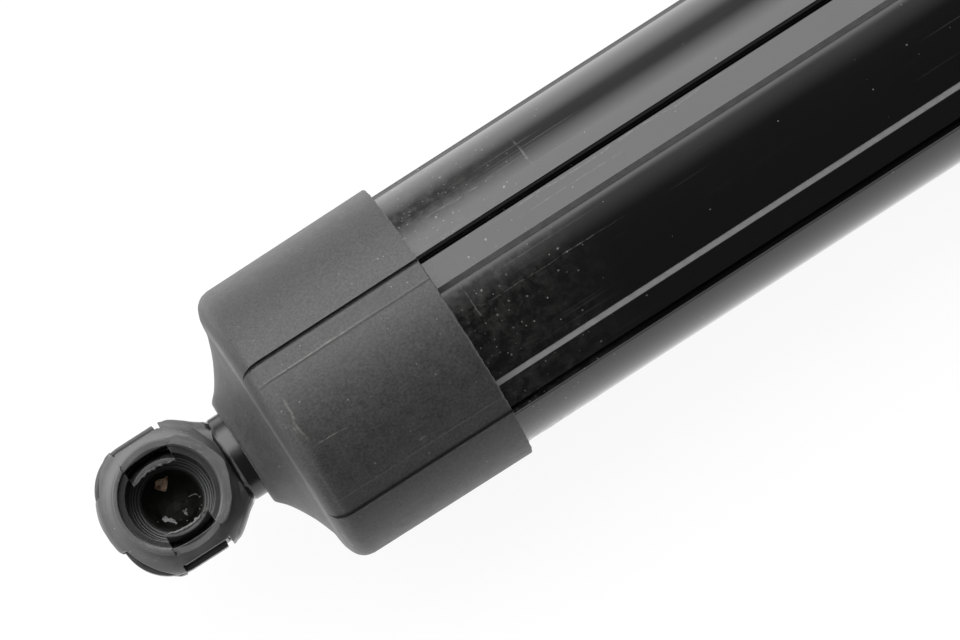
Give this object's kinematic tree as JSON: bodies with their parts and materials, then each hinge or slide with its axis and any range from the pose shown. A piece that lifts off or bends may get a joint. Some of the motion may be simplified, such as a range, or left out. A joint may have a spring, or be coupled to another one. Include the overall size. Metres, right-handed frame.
{
  "type": "tailgate strut",
  "caption": "Powered tailgate strut: a motor, gears and a spindle in telescoping tubes, with a ball socket with snap arms and a rubber boot at each end.",
  "frame": {"origin": "centre of the upper ball seat, the one in the picture", "axes": "+X along the strut to the lower ball seat, +Z out of the mouths of both sockets"},
  "size_m": [0.4734, 0.0388, 0.0352],
  "materials": {
    "socket_plastic": "moulded, satin",
    "clip_steel": "black phosphate",
    "boot_rubber": "matte",
    "tube_black": "gloss black",
    "black_plastic": "moulded",
    "guide_plastic": "natural, slippery",
    "steel": "turned",
    "spring_steel": "shot-peened",
    "bearing_steel": "ground",
    "aluminium": "turned",
    "zinc_steel": "zinc plated",
    "seal_rubber": "matte",
    "ferrite": "sintered",
    "winding_copper": "enamelled wire on a laminated core",
    "carbon_copper": "copper",
    "brush_carbon": "pressed carbon",
    "board_green": "circuit board",
    "gear_plastic": "moulded",
    "gear_steel": "cut teeth"
  },
  "bodies": {
    "cover": {"upper_ball_socket": "socket_plastic", "upper_retaining_clip": "clip_steel", "upper_stud": "zinc_steel", "upper_end_plug": "black_plastic", "upper_boot": "boot_rubber", "cover_tube": "tube_black", "push_tube": "steel", "spindle_nut": "guide_plastic", "spring_seat": "black_plastic", "drive_spring": "spring_steel", "guide_bush": "guide_plastic", "wiper_seal": "seal_rubber", "end_ring": "black_plastic"},
    "drive": {"drive_tube": "tube_black", "keyed_guide_ring": "guide_plastic", "spring_cup": "zinc_steel", "bearing_housing": "aluminium", "bearing_outer_ring": "bearing_steel", "bearing_lock_ring": "spring_steel", "ring_gear": "gear_plastic", "gearbox_plate": "zinc_steel", "front_decoupler": "seal_rubber", "motor_can": "zinc_steel", "motor_bushes": "carbon_copper", "field_magnets": "ferrite", "brush_plate": "black_plastic", "brushes": "brush_carbon", "motor_end_bell": "black_plastic", "rear_decoupler": "seal_rubber", "sensor_board": "board_green", "lower_end_plug": "black_plastic", "lower_stud": "zinc_steel", "lower_boot": "boot_rubber", "lower_ball_socket": "socket_plastic", "lower_retaining_clip": "clip_steel", "cable_grommet": "seal_rubber"},
    "spindle": {"spindle": "steel", "spindle_guide": "guide_plastic", "bearing_inner_ring": "bearing_steel", "planet_carrier": "gear_steel", "planet_pins": "steel"},
    "planet_1": {"planet_gear_1": "gear_plastic"},
    "planet_2": {"planet_gear_2": "gear_plastic"},
    "planet_3": {"planet_gear_3": "gear_plastic"},
    "rotor": {"motor_shaft": "steel", "sun_pinion": "gear_steel", "armature": "winding_copper", "commutator": "carbon_copper", "sensor_magnet": "ferrite"}
  },
  "joints": [
    {"name": "strut_slide", "type": "slide", "parent": "cover", "child": "drive", "axis": [1, 0, 0], "range_m": [0, 0.2], "deforming": ["drive_spring"]},
    {"name": "spindle_spin", "type": "hinge", "parent": "drive", "child": "spindle", "pos_m": [0.298, 0, 0], "axis": [1, 0, 0], "range_deg": [0, 3600]},
    {"name": "planet_1_spin", "type": "hinge", "parent": "spindle", "child": "planet_1", "pos_m": [0.3135, 0, 0.00675], "axis": [1, 0, 0], "range_deg": [-10080, 0]},
    {"name": "planet_2_spin", "type": "hinge", "parent": "spindle", "child": "planet_2", "pos_m": [0.3135, -0.00585, -0.00337], "axis": [1, 0, 0], "range_deg": [-10080, 0]},
    {"name": "planet_3_spin", "type": "hinge", "parent": "spindle", "child": "planet_3", "pos_m": [0.3135, 0.00585, -0.00337], "axis": [1, 0, 0], "range_deg": [-10080, 0]},
    {"name": "rotor_spin", "type": "hinge", "parent": "drive", "child": "rotor", "pos_m": [0.35, 0, 0], "axis": [1, 0, 0], "range_deg": [0, 16200]}
  ],
  "couplings": [
    {"joint": "spindle_spin", "follows": "strut_slide", "rad_per_m": 314.16},
    {"joint": "planet_1_spin", "follows": "strut_slide", "rad_per_m": -879.65},
    {"joint": "planet_2_spin", "follows": "strut_slide", "rad_per_m": -879.65},
    {"joint": "planet_3_spin", "follows": "strut_slide", "rad_per_m": -879.65},
    {"joint": "rotor_spin", "follows": "strut_slide", "rad_per_m": 1413.7}
  ]
}
